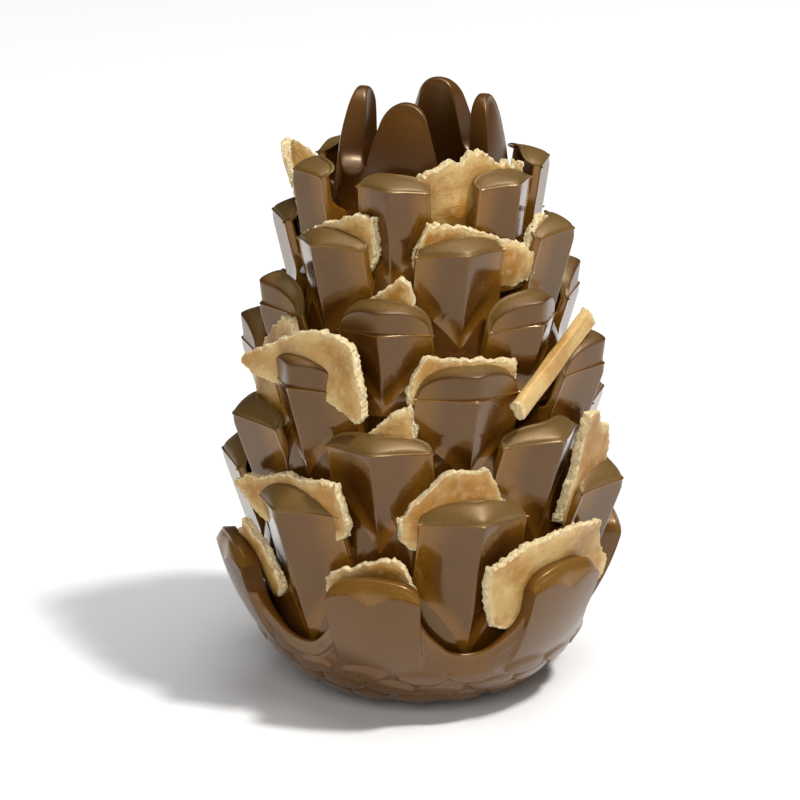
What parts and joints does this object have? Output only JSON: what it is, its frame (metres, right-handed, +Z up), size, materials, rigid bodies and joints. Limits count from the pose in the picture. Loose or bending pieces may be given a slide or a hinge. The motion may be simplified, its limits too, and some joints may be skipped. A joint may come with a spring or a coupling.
{
  "type": "treat-holding pine cone dog toy",
  "caption": "Moulded rubber pine cone with upward-leaning scales over a tongued cup and an open crown; broken treats sit in the pockets behind its scales.",
  "frame": {"origin": "centre of the flat spot under the cup, on the surface it stands on", "axes": "+Z up along the cone's axis, -Y the front, +X to the right seen from the front"},
  "size_m": [0.0872, 0.0876, 0.13],
  "materials": {
    "rubber": "glossy brown moulded natural rubber, satin on the rounded caps",
    "treat": "dry matt baked sheet with porous, crumbly broken edges"
  },
  "bodies": {
    "root": {"cone_moulding": "rubber", "treat_top_left": "treat", "treat_top_jagged": "treat", "treat_tier5_left": "treat", "treat_tier5_front": "treat", "treat_tier5_right": "treat", "treat_tier4_point": "treat", "treat_tier3_hood": "treat", "treat_tier3_front": "treat", "treat_tier2_left": "treat", "treat_tier2_front": "treat", "treat_tier1_hook": "treat", "treat_tier1_left": "treat", "treat_tier1_arch": "treat", "treat_cup_left": "treat", "treat_cup_front": "treat", "treat_cup_right": "treat", "treat_back_cup": "treat", "treat_back_tier1": "treat", "treat_back_tier2": "treat", "treat_back_tier3": "treat", "treat_back_tier4": "treat", "treat_back_tier5": "treat", "treat_stick": "treat"}
  },
  "joints": []
}
